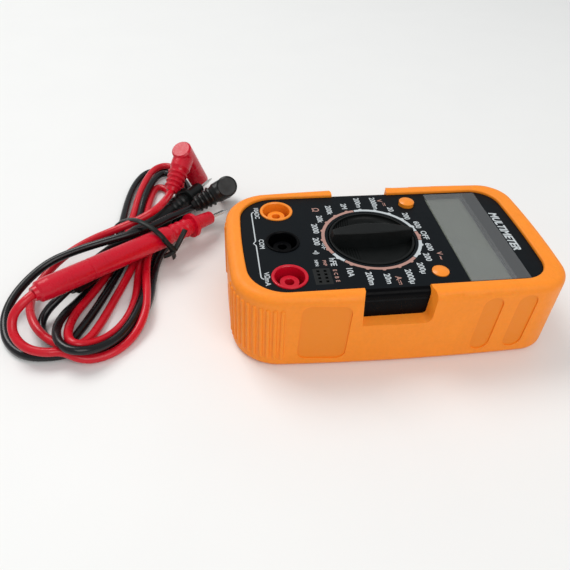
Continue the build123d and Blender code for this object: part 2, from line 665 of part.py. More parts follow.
CORD_RADIUS = 1.9
PROBE_LENGTH = 114.0
PROBE_NOSE_END = 102.0
PROBE_FLANGE = 88.0
BARREL_RADIUS = 5.0
PROBES = {
    "red": ((7.4, -150.4, 21.4), (-68.9, -67.0, 8.0)),
    "black": ((-9.0, -140.6, 9.6), (-101.8, -74.0, 8.6)),
}
PLUGS = {                      # where the cord enters, the elbow, the open end of the shroud
    "red": ((-78.6, -96.4, 15.0), (-95.9, -88.3, 27.2), (-104.8, -81.5, 5.7)),
    "black": ((-68.7, -84.7, 11.1), (-74.5, -66.6, 19.1), (-94.0, -66.8, 5.6)),
}
CORD_ROUTES = {
    "black_plug_cord": [
        (-68.7, -84.7, 11.1), (-55.6, -95.6, 14.6), (-43.5, -105.4, 16.8), (-36.4, -117.3, 17.2),
        (-32.4, -129.6, 16.4), (-29.4, -141.5, 14.4), (-25.5, -151.7, 12.2), (-16.8, -159.9, 9.8),
        (-6.5, -165.9, 6.8), (4.0, -167.7, 3.6), (16.0, -163.8, 2.1), (24.1, -155.0, 2.1),
        (25.2, -143.7, 2.1),
    ],
    "red_plug_cord": [
        (-78.6, -96.4, 15.0), (-64.3, -98.5, 18.8), (-52.9, -103.0, 20.4), (-47.9, -111.8, 18.0),
        (-43.8, -124.4, 15.2), (-42.5, -136.5, 10.8), (-36.8, -147.9, 6.6), (-26.2, -155.5, 4.0),
        (-11.6, -158.5, 4.6), (3.2, -156.2, 7.2), (14.6, -150.5, 6.6), (21.9, -141.9, 5.6),
    ],
    "red_probe_cord": [
        (7.4, -150.4, 21.4), (11.5, -154.0, 20.6), (13.9, -158.6, 16.0), (19.2, -158.8, 11.0),
        (24.7, -153.8, 8.0), (26.9, -145.9, 6.6), (25.8, -139.2, 5.9),
    ],
    "black_probe_cord": [
        (-9.0, -140.6, 9.6), (-3.3, -145.5, 8.0), (1.0, -150.6, 4.6), (7.1, -152.1, 2.2),
        (14.6, -148.3, 2.1), (18.7, -142.0, 2.1),
    ],
}
STRAND = 2 * CORD_RADIUS
HANK_SPREAD = [
    (6.5, -146.0), (20.5, -144.8), (27.0, -136.0), (29.0, -125.0), (25.5, -114.0),
    (12.0, -106.0), (-6.0, -102.8), (-33.0, -103.0), (-62.0, -106.5), (-76.0, -103.5),
    (-86.0, -95.5), (-100.0, -90.0), (-116.0, -90.5), (-128.0, -97.0), (-132.0, -105.0),
    (-125.5, -114.5), (-107.0, -124.0), (-92.0, -126.0), (-60.0, -127.5), (-40.0, -129.5),
    (-20.0, -135.5),
]
HANK_NEAR = [
    (9.0, -145.2), (20.0, -144.2), (26.0, -135.5), (27.8, -125.0), (24.0, -115.0),
    (11.0, -107.5), (-5.0, -105.5), (-10.0, -112.0), (2.0, -130.0),
]
HANK_FAR = [
    (-78.0, -124.5), (-92.0, -125.0), (-107.0, -123.0), (-124.5, -113.8), (-130.8, -104.6),
    (-127.0, -98.0), (-116.0, -91.8), (-107.0, -93.5), (-99.0, -104.0), (-80.0, -114.0),
]
TIE_WIRE = 0.8
TIE_LOOP = [
    (-63.0, -131.0, 1.0), (-61.0, -126.5, 12.0), (-53.5, -118.6, 22.4), (-43.5, -109.4, 22.4),
    (-34.5, -100.6, 21.2), (-30.6, -97.2, 11.0), (-31.6, -98.4, 1.0),
]


def along(start, end, solid):
    """Stand an upright solid on the line from one point towards another."""
    direction = Vector(*end) - Vector(*start)
    return Plane(origin=start, z_dir=direction).location * solid


def turned(profile):
    """Revolve a list of radius and height pairs about the upright axis."""
    closed = [(0, profile[0][1]), *profile, (0, profile[-1][1])]
    return revolve(Plane.XZ * make_face(Polyline(*closed, close=True)), axis=Axis.Z)


def make_probe_handle(colour):
    """Insulated handle: barrel, ringed neck, finger guard and nose."""
    profile = [(3.0, 0), (3.4, 1.6), (4.6, 2.6), (BARREL_RADIUS, 7.0), (BARREL_RADIUS, 26.4),
               (4.7, 26.8), (4.7, 27.4), (BARREL_RADIUS, 27.8), (BARREL_RADIUS, 70.0),
               (4.6, 72.6), (4.1, 73.8)]
    for ring in range(3):
        low = 74.8 + 3.6 * ring
        profile += [(4.1, low), (4.7, low + 0.8), (4.7, low + 1.8), (4.1, low + 2.6)]
    profile += [(4.1, PROBE_FLANGE - 1.4), (6.2, PROBE_FLANGE - 1.0), (6.2, PROBE_FLANGE + 0.9),
                (3.8, PROBE_FLANGE + 1.5), (3.6, PROBE_FLANGE + 8.0),
                (3.3, PROBE_NOSE_END - 0.8), (2.6, PROBE_NOSE_END)]
    return along(*PROBES[colour], turned(profile))


def make_probe_tip(colour):
    """Plated needle pressed into the nose of the handle."""
    profile = [(1.0, PROBE_NOSE_END), (1.0, PROBE_LENGTH - 4.0), (0.25, PROBE_LENGTH)]
    return along(*PROBES[colour], turned(profile))


SHROUD_LENGTH = 24.0
SHROUD_RADIUS = 5.4
SHROUD_BORE = 4.5
SHROUD_DEPTH = 17.0
PIN_RADIUS = 2.0


def make_plug(colour):
    """Right-angle plug: ribbed strain relief, elbow and hollow shroud."""
    entry, elbow, mouth = PLUGS[colour]
    relief_length = (Vector(*elbow) - Vector(*entry)).length
    profile = [(2.9, 0), (3.4, 1.5)]
    for rib in range(4):
        low, radius = 2.0 + 2.6 * rib, 4.0 + 0.3 * rib
        profile += [(radius - 0.4, low), (radius + 0.4, low + 0.6), (radius + 0.4, low + 1.4),
                    (radius - 0.4, low + 2.0)]
    profile += [(4.8, 12.8), (5.5, 14.2), (5.5, relief_length)]
    body = along(entry, elbow, turned(profile))
    shroud = turned([(4.6, -5.8), (5.5, -4.9), (5.5, 8.0), (SHROUD_RADIUS, 9.0),
                     (SHROUD_RADIUS, SHROUD_LENGTH)])
    body += along(elbow, mouth, shroud)
    hollow = rod(0, 0, SHROUD_LENGTH - SHROUD_DEPTH, SHROUD_LENGTH + 1, SHROUD_BORE)
    return body - along(elbow, mouth, hollow)


def make_plug_pin(colour):
    """Split-sprung 4 mm pin standing in the shroud."""
    entry, elbow, mouth = PLUGS[colour]
    low = SHROUD_LENGTH - SHROUD_DEPTH
    pin = turned([(PIN_RADIUS, low), (PIN_RADIUS, SHROUD_LENGTH - 2.0), (1.4, SHROUD_LENGTH - 1.2)])
    return along(elbow, mouth, pin)


def corner_radii(route):
    """The largest arcs that the runs of a cord's route allow, one for each corner."""
    points = [Vector(*point) for point in route]
    radii = []
    for before, corner, after in zip(points, points[1:], points[2:]):
        arriving, leaving = corner - before, after - corner
        half_turn = radians(arriving.get_angle(leaving)) / 2
        shorter = min(arriving.length, leaving.length)
        radii.append(0.45 * shorter * cos(half_turn) / sin(half_turn))
    return radii


def tube_along(route, radius):
    path = FilletPolyline(*route, radius=corner_radii(route))
    section = Plane(origin=path @ 0, z_dir=path % 0) * Circle(radius)
    return sweep(section, path=path), path.length


def make_cord(name):
    solid, length = tube_along(CORD_ROUTES[name], CORD_RADIUS)
    expected = pi * CORD_RADIUS ** 2 * length
    print(name, "length", round(length), "volume ratio", round(solid.volume / expected, 3),
          "radii", [round(radius, 1) for radius in corner_radii(CORD_ROUTES[name])])
    return solid


def make_lead_hank():
    """Outer shape of the coiled cords: one strand deep all over, two at each end."""
    layers = ((HANK_SPREAD, 0, STRAND), (HANK_NEAR, STRAND, 2 * STRAND),
              (HANK_FAR, STRAND, 2 * STRAND))
    hank = Part()
    for points, low, high in layers:
        plan = make_face(Polyline(*points, close=True))
        hank += slab(fillet(plan.vertices(), radius=2.0), low, high)
    return hank


def make_twist_tie():
    loop, length = tube_along(TIE_LOOP, TIE_WIRE)
    return loop


def lead_parts():
    parts = {"lead_hank": make_lead_hank(), "twist_tie": make_twist_tie()}
    for name in CORD_ROUTES:
        parts[name] = make_cord(name)
    for colour in PROBES:
        parts[f"{colour}_probe_handle"] = make_probe_handle(colour)
        parts[f"{colour}_probe_tip"] = make_probe_tip(colour)
        parts[f"{colour}_plug"] = make_plug(colour)
        parts[f"{colour}_plug_pin"] = make_plug_pin(colour)
    return parts


# ---- Writing the parts ---------------------------------------------------------------------------

def meter_parts():
    parts = {
        "holster": make_holster(),
        "front_case": make_front_case(),
        "rear_case": make_rear_case(),
        "faceplate": make_faceplate(),
        "case_screws": make_case_screws(),
        "board_screws": make_board_screws(),
        "display_window": make_display_window(),
        "display_film": make_display_film(),
        "lcd_glass": make_lcd_glass(),
        "lcd_frame": make_lcd_frame(),
        "backlight_panel": make_backlight_panel(),
        "elastomer_strip": make_elastomer_strip(),
        "main_board": make_main_board(),
        "chip_cover": make_chip_cover(),
        "resistors": make_resistors(),
        "capacitors": make_capacitors(),
        "trimmer": make_trimmer(),
        "fuse": make_fuse(),
        "fuse_clips": make_fuse_clips(),
        "current_shunt": make_current_shunt(),
        "buzzer_disc": make_buzzer_disc(),
        "buzzer_springs": make_buzzer_springs(),
        "transistor_socket": make_transistor_socket(),
        "selector_knob": make_selector_knob(),
        "contact_rotor": make_contact_rotor(),
        "detent_balls": make_detent_balls(),
        "detent_springs": make_detent_springs(),
        "wiper_contacts": make_wiper_contacts(),
        "battery": make_battery(),
        "battery_snap": make_battery_snap(),
        "battery_wire_black": make_battery_wire(-1),
        "battery_wire_red": make_battery_wire(1),
    }
    for index, name in zip((-1, 0, 1), JACK_NAMES):
        parts[f"jack_collar_{name}"] = make_jack_collar(index)
        parts[f"jack_socket_{name}"] = make_jack_socket(index)
    for side, name, crown in ((-1, "hold", 39.0), (1, "light", 37.6)):
        parts[f"{name}_button"] = make_button(side, crown)
        parts[f"{name}_plunger"] = make_plunger(side)
        parts[f"{name}_spring"] = make_button_spring(side)
        parts[f"{name}_switch"] = make_switch(side)
    return parts


if __name__ == "__main__":
    os.makedirs("parts", exist_ok=True)
    for node, solid in (meter_parts() | lead_parts()).items():
        export_step(solid, f"parts/{node}.step")
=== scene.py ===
"""Looks of a digital multimeter in its rubber holster, with its two tied test leads."""
import json
from math import cos, pi, radians, sin

import bmesh
import bpy
from mathutils import Matrix, Vector


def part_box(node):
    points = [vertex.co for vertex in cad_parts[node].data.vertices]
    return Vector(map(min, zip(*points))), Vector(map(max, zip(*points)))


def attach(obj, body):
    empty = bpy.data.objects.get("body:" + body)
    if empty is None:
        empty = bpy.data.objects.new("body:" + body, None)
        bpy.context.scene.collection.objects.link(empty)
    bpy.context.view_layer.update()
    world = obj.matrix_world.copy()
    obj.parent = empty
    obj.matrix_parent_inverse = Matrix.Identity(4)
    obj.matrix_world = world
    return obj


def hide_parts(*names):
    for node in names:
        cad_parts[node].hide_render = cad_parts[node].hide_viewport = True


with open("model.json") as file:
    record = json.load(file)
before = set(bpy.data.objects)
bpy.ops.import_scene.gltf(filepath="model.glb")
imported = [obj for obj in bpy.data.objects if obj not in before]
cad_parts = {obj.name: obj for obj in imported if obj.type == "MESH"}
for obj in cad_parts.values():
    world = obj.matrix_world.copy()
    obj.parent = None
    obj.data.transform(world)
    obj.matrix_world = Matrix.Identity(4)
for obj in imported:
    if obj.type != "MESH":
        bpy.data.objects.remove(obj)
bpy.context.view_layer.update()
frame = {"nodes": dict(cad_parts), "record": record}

MM = 0.001
NODES = frame["nodes"]


def low_high(node):
    """Lowest and highest corners of a node, in millimetres."""
    low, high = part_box(node)
    return low / MM, high / MM


# ---------------------------------------------------------------- camera

EYE = Vector((193.1, -75.9, 182.4)) * MM
VIEW_AZIMUTH, VIEW_ELEVATION, VIEW_ROLL = radians(80.68), radians(41.05), radians(2.83)
LENS_MM = SENSOR_MM = 36.0


def make_camera():
    """Camera that looks down at the meter from its right side, slightly rolled."""
    back = Vector((sin(VIEW_AZIMUTH) * cos(VIEW_ELEVATION),
                   -cos(VIEW_AZIMUTH) * cos(VIEW_ELEVATION),
                   sin(VIEW_ELEVATION)))
    level_right = (-back).cross(Vector((0, 0, 1))).normalized()
    level_up = level_right.cross(-back)
    right = level_right * cos(VIEW_ROLL) + level_up * sin(VIEW_ROLL)
    up = level_up * cos(VIEW_ROLL) - level_right * sin(VIEW_ROLL)
    data = bpy.data.cameras.new("camera")
    data.lens = LENS_MM
    data.sensor_width = SENSOR_MM
    data.clip_start = 0.01
    camera = bpy.data.objects.new("camera", data)
    camera.matrix_world = Matrix.Translation(EYE) @ Matrix((right, up, back)).transposed().to_4x4()
    bpy.context.scene.collection.objects.link(camera)
    bpy.context.scene.camera = camera


make_camera()
bpy.context.scene.view_settings.view_transform = "Standard"


# ---------------------------------------------------------------- materials

# The middle part of a noise texture's values, where most of them lie.
NOISE_LOW, NOISE_HIGH = 0.3, 0.7
# Pointiness at which an edge begins to look rubbed, and at which it is rubbed most.
EDGE_BEGINS, EDGE_FULL = 0.52, 0.62


class Paint:
    """A Principled material with helpers for procedural colour, bump and roughness."""

    def __init__(self, name, colour, roughness=0.5):
        self.material = bpy.data.materials.new(name)
        self.material.use_nodes = True
        self.tree = self.material.node_tree
        self.shader = self.tree.nodes["Principled BSDF"]
        self.colour = colour
        self.shader.inputs["Base Color"].default_value = (*colour, 1)
        self.shader.inputs["Roughness"].default_value = roughness
        self.place = self.add("ShaderNodeTexCoord").outputs["Object"]

    def add(self, kind, **settings):
        node = self.tree.nodes.new(kind)
        for key, value in settings.items():
            setattr(node, key, value)
        return node

    def link(self, output, target):
        self.tree.links.new(output, target)

    def set(self, **sockets):
        """Constant values straight on the shader, such as coat_weight=0.3."""
        for key, value in sockets.items():
            name = key.replace("_", " ").title().replace("Ior", "IOR")
            self.shader.inputs[name].default_value = value
        return self

    def noise(self, size_mm, detail=3.0, stretch=(1, 1, 1), seed=0.0):
        """Noise whose features are about size_mm across, from 0 to 1."""
        place = self.add("ShaderNodeMapping")
        place.inputs["Scale"].default_value = stretch
        place.inputs["Location"].default_value = (seed, seed * 0.7, seed * 0.3)
        self.link(self.place, place.inputs["Vector"])
        noise = self.add("ShaderNodeTexNoise")
        noise.inputs["Scale"].default_value = 1000.0 / size_mm
        noise.inputs["Detail"].default_value = detail
        self.link(place.outputs["Vector"], noise.inputs["Vector"])
        return noise.outputs["Fac"]

    def spread(self, factor, low, high):
        """The factor's middle part stretched to run from low to high."""
        ramp = self.add("ShaderNodeMapRange")
        ramp.inputs["From Min"].default_value = NOISE_LOW
        ramp.inputs["From Max"].default_value = NOISE_HIGH
        ramp.inputs["To Min"].default_value = low
        ramp.inputs["To Max"].default_value = high
        self.link(factor, ramp.inputs["Value"])
        return ramp.outputs["Result"]

    def tint(self, factor, colour):
        """Mixes another colour over what the base colour is so far."""
        base = self.shader.inputs["Base Color"]
        mix = self.add("ShaderNodeMix", data_type="RGBA")
        self.link(factor, mix.inputs[0])
        if base.is_linked:
            self.link(base.links[0].from_socket, mix.inputs[6])
        else:
            mix.inputs[6].default_value = (*self.colour, 1)
        mix.inputs[7].default_value = (*colour, 1)
        self.link(mix.outputs[2], base)
        return self

    def rough(self, factor, low, high):
        self.link(self.spread(factor, low, high), self.shader.inputs["Roughness"])
        return self

    def bump(self, height, depth_mm, strength=1.0):
        """Adds a bump of the given depth on top of any bump already there."""
        normal = self.shader.inputs["Normal"]
        bump = self.add("ShaderNodeBump")
        bump.inputs["Strength"].default_value = strength
        bump.inputs["Distance"].default_value = depth_mm * MM
        self.link(height, bump.inputs["Height"])
        if normal.is_linked:
            self.link(normal.links[0].from_socket, bump.inputs["Normal"])
        self.link(bump.outputs["Normal"], normal)
        return self

    def worn_edges(self, colour, amount=0.5):
        """Rubbed edges, where the surface is convex, broken up by noise."""
        point = self.add("ShaderNodeNewGeometry").outputs["Pointiness"]
        edge = self.add("ShaderNodeMapRange")
        edge.inputs["From Min"].default_value = EDGE_BEGINS
        edge.inputs["From Max"].default_value = EDGE_FULL
        edge.inputs["To Max"].default_value = amount
        self.link(point, edge.inputs["Value"])
        patchy = self.add("ShaderNodeMath", operation="MULTIPLY")
        self.link(edge.outputs["Result"], patchy.inputs[0])
        self.link(self.spread(self.noise(2.5), 0.2, 1.0), patchy.inputs[1])
        return self.tint(patchy.outputs["Value"], colour)


def darker(colour, times):
    """The colour times a factor, which also lightens it when it is over 1."""
    return tuple(channel * times for channel in colour)


def moulded(name, colour, roughness=(0.35, 0.5), grain=0.35, grain_depth=0.02, wear=0.25,
            mottle=0.5):
    """Moulded plastic or rubber: fine grain, faint mottling and rubbed edges."""
    paint = Paint(name, colour)
    paint.tint(paint.spread(paint.noise(9.0, seed=3.0), 0.0, mottle), darker(colour, 0.82))
    paint.tint(paint.spread(paint.noise(1.4, seed=8.0), 0.0, 0.18), darker(colour, 1.25))
    paint.worn_edges(darker(colour, 1.5), wear)
    paint.rough(paint.noise(3.0, seed=5.0), *roughness)
    paint.bump(paint.noise(grain, detail=2.0), grain_depth)
    paint.bump(paint.noise(12.0, detail=1.0, seed=2.0), 0.05, 0.5)
    return paint


# The shallow recesses in the holster's long sides: middle (y, z), half size, corner, lean.
RECESSES = [
    ((-33.8, 19.4), (10.0, 14.5), 4.0, -2.0),
    ((33.8, 19.4), (4.2, 14.5), 4.2, -1.5),
    ((48.6, 19.4), (4.2, 14.5), 4.2, -1.5),
]
# How far outside and inside a recess's outline its painted shade begins and is full.
RECESS_SOFT_OUT, RECESS_SOFT_IN = 0.1, 0.5


def paint_recess_shade(paint, colour):
    """Painted shade: darker rubber inside the side recesses, told apart by a rounded box round
    each.
    """
    for middle, half, corner, lean in RECESSES:
        spot = paint.add("ShaderNodeMapping", vector_type="TEXTURE")
        spot.inputs["Location"].default_value = (0, middle[0] * MM, middle[1] * MM)
        spot.inputs["Rotation"].default_value = (radians(lean), 0, 0)
        paint.link(paint.place, spot.inputs["Vector"])
        size = paint.add("ShaderNodeVectorMath", operation="ABSOLUTE")
        paint.link(spot.outputs["Vector"], size.inputs[0])
        beyond = paint.add("ShaderNodeVectorMath", operation="SUBTRACT")
        paint.link(size.outputs["Vector"], beyond.inputs[0])
        beyond.inputs[1].default_value = (1, (half[0] - corner) * MM, (half[1] - corner) * MM)
        outside = paint.add("ShaderNodeVectorMath", operation="MAXIMUM")
        paint.link(beyond.outputs["Vector"], outside.inputs[0])
        reach = paint.add("ShaderNodeVectorMath", operation="LENGTH")
        paint.link(outside.outputs["Vector"], reach.inputs[0])
        inside = paint.add("ShaderNodeMapRange")
        inside.inputs["From Min"].default_value = (corner + RECESS_SOFT_OUT) * MM
        inside.inputs["From Max"].default_value = (corner - RECESS_SOFT_IN) * MM
        paint.link(reach.outputs["Value"], inside.inputs["Value"])
        paint.tint(inside.outputs["Result"], colour)


def metal(name, colour, roughness=(0.18, 0.35), brushed=(1, 1, 6)):
    """Plated or drawn metal with fine tool marks and slight tarnish."""
    paint = Paint(name, colour)
    paint.set(metallic=1.0)
    paint.tint(paint.spread(paint.noise(4.0, seed=4.0), 0.0, 0.5), darker(colour, 0.7))
    paint.rough(paint.noise(0.8, stretch=brushed), *roughness)
    paint.bump(paint.noise(0.25, stretch=brushed), 0.006)
    return paint


def clear(name, colour, roughness, alpha):
    """Clear plastic, seen mostly by its haze and its faint scuffs."""
    paint = Paint(name, colour, roughness)
    paint.set(alpha=alpha, ior=1.46)
    paint.bump(paint.noise(14.0, detail=1.0), 0.03, 0.4)
    paint.rough(paint.noise(5.0, seed=6.0), roughness, roughness + 0.05)
    return paint


def build_materials():
    """One material for each slot of the record."""
    orange = (0.95, 0.27, 0.016)
    black = (0.006, 0.007, 0.007)
    red = (0.58, 0.003, 0.020)
    made = {
        "holster_rubber": moulded("holster_rubber", orange, (0.40, 0.58), grain=0.30,
                                  grain_depth=0.03, wear=0.18, mottle=0.25),
        "case_plastic": moulded("case_plastic", (0.0015, 0.0015, 0.002), (0.24, 0.36), wear=0.1),
        "knob_plastic": moulded("knob_plastic", (0.005, 0.006, 0.006), (0.34, 0.5), grain=0.25),
        "overlay": moulded("overlay", (0.004, 0.006, 0.008), (0.40, 0.52), grain=0.2,
                           grain_depth=0.012, wear=0.0),
        "clear_window": clear("clear_window", (0.20, 0.21, 0.20), 0.03, 0.10),
        "clear_film": clear("clear_film", (0.34, 0.35, 0.36), 0.10, 0.26),
        "lcd": moulded("lcd", (0.24, 0.27, 0.21), (0.12, 0.2), grain=0.15, grain_depth=0.001,
                       wear=0.0),
        "white_plastic": moulded("white_plastic", (0.62, 0.62, 0.58)),
        "silicone": moulded("silicone", (0.20, 0.19, 0.20), (0.5, 0.6)),
        "board": moulded("board", (0.02, 0.14, 0.04), (0.25, 0.4), wear=0.0),
        "epoxy": moulded("epoxy", black, (0.12, 0.25)),
        "resistor_body": moulded("resistor_body", (0.12, 0.28, 0.42), (0.25, 0.4)),
        "capacitor_body": moulded("capacitor_body", (0.42, 0.08, 0.03), (0.2, 0.35)),
        "trimmer_body": moulded("trimmer_body", (0.03, 0.08, 0.42), (0.3, 0.4)),
        "fuse_metal": metal("fuse_metal", (0.72, 0.72, 0.70)),
        "brass": metal("brass", (0.74, 0.54, 0.22)),
        "copper_alloy": metal("copper_alloy", (0.60, 0.38, 0.26)),
        "steel": metal("steel", (0.56, 0.56, 0.57), (0.28, 0.45)),
        "plated_metal": metal("plated_metal", (0.74, 0.73, 0.70)),
        "black_plastic": moulded("black_plastic", black, (0.35, 0.5)),
        "orange_plastic": moulded("orange_plastic", (0.93, 0.27, 0.015), (0.25, 0.36), wear=0.1),
        "red_plastic": moulded("red_plastic", red, (0.22, 0.36), wear=0.1),
        "black_gloss_plastic": moulded("black_gloss_plastic", black, (0.28, 0.42), wear=0.15),
        "battery_wrap": moulded("battery_wrap", (0.06, 0.07, 0.09), (0.2, 0.35)),
        "red_cord": moulded("red_cord", (0.60, 0.005, 0.018), (0.24, 0.36), grain=0.5,
                            grain_depth=0.01, wear=0.0),
        "black_cord": moulded("black_cord", (0.004, 0.004, 0.005), (0.20, 0.30), grain=0.5,
                              grain_depth=0.01, wear=0.0),
        "tie_plastic": moulded("tie_plastic", (0.006, 0.008, 0.007), (0.35, 0.5)),
    }
    # Painted shade: the rubber inside the side recesses is tinted to 0.91 of the orange.
    paint_recess_shade(made["holster_rubber"], darker(orange, 0.91))
    made["holster_rubber"].set(subsurface_weight=0.12, subsurface_scale=0.002,
                               specular_ior_level=0.3)
    for slot, level in (("case_plastic", 0.05), ("knob_plastic", 0.16), ("overlay", 0.08)):
        made[slot].set(specular_ior_level=level)
    for slot in ("black_gloss_plastic", "tie_plastic", "black_plastic"):
        made[slot].set(specular_ior_level=0.28)
    for slot in ("red_cord", "black_cord", "red_plastic"):
        made[slot].set(specular_ior_level=0.3, coat_weight=0.15, coat_roughness=0.15)
    return {slot: paint.material for slot, paint in made.items()}


MATERIALS = build_materials()
for part in frame["record"]["subparts"]:
    for material_slot in NODES[part["node"]].material_slots:
        material_slot.material = MATERIALS[part["material_slot"]]


# ---------------------------------------------------------------- pieces

def add_piece(name, data, slot, body, material=None):
    """Links an object, paints it and lets it ride on a body."""
    piece = bpy.data.objects.new(name, data)
    bpy.context.scene.collection.objects.link(piece)
    data.materials.append(material or MATERIALS[slot])
    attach(piece, body)
    return piece


def spline_curve(name, points_mm, radius_mm):
    """A NURBS curve with these control points, round in section."""
    curve = bpy.data.curves.new(name, "CURVE")
    curve.dimensions = "3D"
    curve.resolution_u = 12
    curve.bevel_depth = radius_mm * MM
    curve.bevel_resolution = 6
    curve.use_fill_caps = True
    spline = curve.splines.new("NURBS")
    spline.points.add(len(points_mm) - 1)
    for point, place in zip(spline.points, points_mm):
        point.co = (*(value * MM for value in place), 1)
    spline.order_u = 3
    spline.use_endpoint_u = True
    return curve


# Each lead runs from its plug, to and fro through the tied hank, to its probe.
CORD_RADIUS = 1.9
RED_LEAD = [
    (-78.6, -96.4, 15.0), (-64.3, -98.5, 18.8), (-52.9, -103.0, 20.4), (-47.9, -111.8, 18.0),
    (-43.8, -124.4, 15.2), (-42.5, -136.5, 10.8), (-36.8, -147.9, 6.6), (-26.2, -155.5, 4.0),
    (-11.6, -158.5, 4.6), (3.2, -156.2, 7.2), (14.6, -150.5, 6.6), (21.9, -141.9, 5.6),
    (23.5, -135.3, 5.4), (18.3, -130.4, 3.0), (6.3, -126.1, 2.0), (-7.1, -122.2, 2.0),
    (-21.6, -117.9, 2.0), (-40.7, -113.4, 2.0), (-60.3, -111.5, 2.0), (-77.3, -110.8, 2.0),
    (-91.4, -109.8, 2.0), (-104.2, -107.5, 2.0), (-105.0, -102.9, 2.0), (-98.1, -98.7, 2.0),
    (-84.4, -99.5, 2.0), (-69.0, -104.0, 2.0), (-54.7, -108.7, 2.0), (-39.7, -111.4, 2.0),
    (-22.6, -112.3, 2.0), (-6.9, -112.3, 2.0), (6.0, -115.4, 2.0), (14.7, -121.0, 2.0),
    (22.1, -126.7, 5.4), (25.7, -131.6, 8.6), (24.2, -135.7, 9.2), (17.1, -138.1, 8.0),
    (4.5, -138.2, 4.5), (-8.4, -134.3, 2.4), (-21.8, -128.6, 2.0), (-39.0, -123.1, 2.0),
    (-59.2, -119.7, 2.0), (-77.8, -117.9, 2.0), (-92.6, -115.8, 4.2), (-107.1, -112.4, 5.9),
    (-119.7, -108.3, 5.9), (-124.1, -101.3, 5.9), (-118.8, -94.6, 5.9), (-103.6, -91.0, 5.8),
    (-86.2, -95.1, 2.0), (-68.7, -99.7, 2.0), (-54.1, -104.5, 2.2), (-36.4, -107.9, 5.6),
    (-22.0, -108.1, 5.9), (-7.6, -106.9, 5.9), (5.2, -106.8, 5.4), (16.0, -110.7, 3.0),
    (24.3, -117.7, 2.0), (28.0, -126.2, 2.0), (28.8, -132.2, 3.6), (25.8, -139.2, 5.9),
    (26.9, -145.9, 6.6), (24.7, -153.8, 8.0), (19.2, -158.8, 11.0), (13.9, -158.6, 16.0),
    (11.5, -154.0, 20.6), (7.4, -150.4, 21.4),
]
BLACK_LEAD = [
    (-68.7, -84.7, 11.1), (-55.6, -95.6, 14.6), (-43.5, -105.4, 16.8), (-36.4, -117.3, 17.2),
    (-32.4, -129.6, 16.4), (-29.4, -141.5, 14.4), (-25.5, -151.7, 12.2), (-16.8, -159.9, 9.8),
    (-6.5, -165.9, 6.8), (4.0, -167.7, 3.6), (16.0, -163.8, 2.1), (24.1, -155.0, 2.1),
    (25.2, -143.7, 2.1), (23.6, -137.2, 2.0), (22.8, -130.9, 2.0), (22.0, -123.6, 2.0),
    (17.5, -116.2, 2.0), (7.2, -109.7, 2.0), (-6.3, -105.9, 2.0), (-22.0, -105.2, 2.0),
    (-37.4, -103.4, 2.0), (-52.1, -97.2, 2.0), (-68.0, -91.1, 2.0), (-84.5, -86.7, 2.0),
    (-102.8, -87.1, 2.0), (-119.5, -94.3, 2.0), (-123.8, -104.7, 2.0), (-123.2, -113.1, 2.0),
    (-110.7, -118.9, 2.0), (-94.4, -121.8, 2.0), (-76.2, -123.1, 2.0), (-56.0, -124.1, 2.0),
    (-36.2, -127.7, 2.0), (-20.6, -132.2, 2.0), (-7.8, -137.7, 2.6), (4.4, -141.6, 6.5),
    (15.8, -142.5, 9.4), (23.7, -140.7, 9.8), (29.2, -135.6, 9.8), (29.3, -128.8, 8.6),
    (24.9, -122.6, 6.2), (19.5, -116.7, 5.9), (10.3, -112.0, 5.9), (-2.3, -108.8, 5.9),
    (-20.0, -108.4, 2.6), (-37.7, -106.9, 2.0), (-52.3, -100.9, 2.0), (-68.3, -95.4, 2.0),
    (-84.9, -91.2, 2.0), (-102.3, -91.7, 2.0), (-113.0, -97.4, 5.9), (-114.6, -104.0, 5.9),
    (-103.5, -109.3, 5.9), (-89.8, -112.8, 4.5), (-75.6, -114.5, 2.0), (-53.6, -116.8, 2.0),
    (-32.5, -120.7, 2.0), (-15.0, -125.6, 2.0), (-0.5, -130.3, 2.0), (11.0, -134.9, 2.0),
    (17.8, -138.1, 2.0), (18.7, -142.0, 2.1), (14.6, -148.3, 2.1), (7.1, -152.1, 2.2),
    (1.0, -150.6, 4.6), (-3.3, -145.5, 8.0), (-9.0, -140.6, 9.6),
]


def add_lead(colour, route):
    """One whole test lead's cord, from plug to probe, in place of the part's own cord pieces and
    hank.
    """
    curve = spline_curve(f"{colour}_lead", route, CORD_RADIUS)
    lead = add_piece(f"{colour}_lead", curve, f"{colour}_cord", "leads")
    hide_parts(f"{colour}_plug_cord", f"{colour}_probe_cord", "lead_hank")


add_lead("red", RED_LEAD)
add_lead("black", BLACK_LEAD)


# ---------------------------------------------------------------- twist tie

def route_line(route_mm):
    """Points along the smooth line that a NURBS curve with this route follows, in metres."""
    curve = spline_curve("line", route_mm, 0)
    bare = bpy.data.objects.new("line", curve)
    mesh = bpy.data.meshes.new_from_object(bare)
    line = [vertex.co.copy() for vertex in mesh.vertices]
    bpy.data.objects.remove(bare)
    return line


def sweep_section(build, line, section_mm, ahead):
    """Skins a closed section along a line; the section's first axis turns away from ahead."""
    rings = []
    for index, centre in enumerate(line):
        along = (line[min(index + 1, len(line) - 1)] - line[max(index - 1, 0)]).normalized()
        side = along.cross(ahead(index)).normalized()
        out = side.cross(along)
        rings.append([build.verts.new(centre + (side * x + out * y) * MM) for x, y in section_mm])
    count = len(section_mm)
    for first, second in zip(rings, rings[1:]):
        for corner in range(count):
            after = (corner + 1) % count
            build.faces.new((first[corner], first[after], second[after], second[corner]))
    build.faces.new(rings[0][::-1])
    build.faces.new(rings[-1])


def mesh_of(name, build, smooth=True):
    """Turns a bmesh into a mesh with its faces outwards."""
    bmesh.ops.recalc_face_normals(build, faces=build.faces)
    mesh = bpy.data.meshes.new(name)
    build.to_mesh(mesh)
    build.free()
    for polygon in mesh.polygons:
        polygon.use_smooth = smooth
    return mesh


